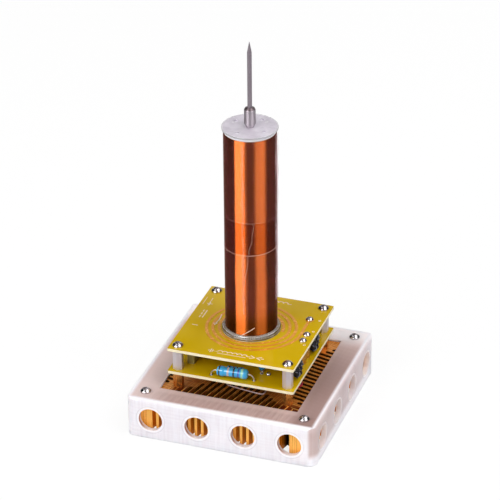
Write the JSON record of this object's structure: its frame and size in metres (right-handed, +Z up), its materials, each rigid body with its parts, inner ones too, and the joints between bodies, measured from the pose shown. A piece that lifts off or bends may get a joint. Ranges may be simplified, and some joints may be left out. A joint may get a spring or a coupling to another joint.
{
  "type": "desktop resonant transformer",
  "caption": "Small resonant transformer coil with a needle electrode on two stacked boards over a finned heatsink in a square vented base.",
  "frame": {"origin": "centre of the base's lower face, on the table", "axes": "+Z up along the coil, -Y to the front with the large resistor, +X to the side with the taps and chokes"},
  "size_m": [0.105, 0.105, 0.2131],
  "materials": {
    "printed_plastic": "translucent white, printed in fine layers",
    "screw_steel": "nickel-plated",
    "gold_aluminium": "gold anodised",
    "standoff_brass": "polished",
    "standoff_aluminium": "satin",
    "yellow_board": "yellow solder mask",
    "pad_sheet": "thin insulating sheet",
    "black_moulding": "moulded",
    "blue_lacquer": "glossy lacquer",
    "cream_case": "moulded",
    "dark_sleeve": "shrunk sleeve",
    "choke_core": "coated ferrite",
    "choke_wire": "dark enamel",
    "pin_metal": "plated",
    "tap_brass": "turned",
    "red_insulation": "soft insulation",
    "pale_insulation": "soft insulation",
    "track_copper": "copper under lacquer",
    "former_plastic": "plain tube",
    "winding_copper": "enamelled copper wire",
    "clear_film": "clear glossy film",
    "clear_resin": "clear set resin",
    "wire_end": "lacquered wire",
    "cap_plastic": "smooth",
    "disc_metal": "fine brushed",
    "needle_steel": "turned"
  },
  "bodies": {
    "transformer": {"base_housing": "printed_plastic", "rim_screws": "screw_steel", "heatsink": "gold_aluminium", "lower_standoffs": "standoff_brass", "insulating_pads": "pad_sheet", "power_transistor_left": "black_moulding", "power_transistor_right": "black_moulding", "transistor_screws": "screw_steel", "driver_board": "yellow_board", "upper_standoffs": "standoff_aluminium", "large_resistor": "blue_lacquer", "small_resistor": "blue_lacquer", "disc_capacitor": "blue_lacquer", "film_capacitor": "cream_case", "filter_capacitor": "dark_sleeve", "driver_chip": "black_moulding", "choke_core_front": "choke_core", "choke_winding_front": "choke_wire", "choke_core_rear": "choke_core", "choke_winding_rear": "choke_wire", "power_inlet": "black_moulding", "inlet_pin": "pin_metal", "tap_posts": "tap_brass", "red_lead": "red_insulation", "pale_lead": "pale_insulation", "primary_board": "yellow_board", "primary_spiral": "track_copper", "board_screws": "screw_steel", "tap_screws": "screw_steel", "coil_former": "former_plastic", "secondary_winding": "winding_copper", "clear_film": "clear_film", "foot_collar": "clear_resin", "winding_tail": "wire_end", "top_cap": "cap_plastic", "top_disc": "disc_metal", "needle_holder": "needle_steel", "holder_screw": "screw_steel"},
    "needle": {"discharge_needle": "needle_steel"}
  },
  "joints": [
    {"name": "needle_slide", "type": "slide", "parent": "transformer", "child": "needle", "axis": [0, 0, 1], "range_m": [0, 0.006]}
  ]
}
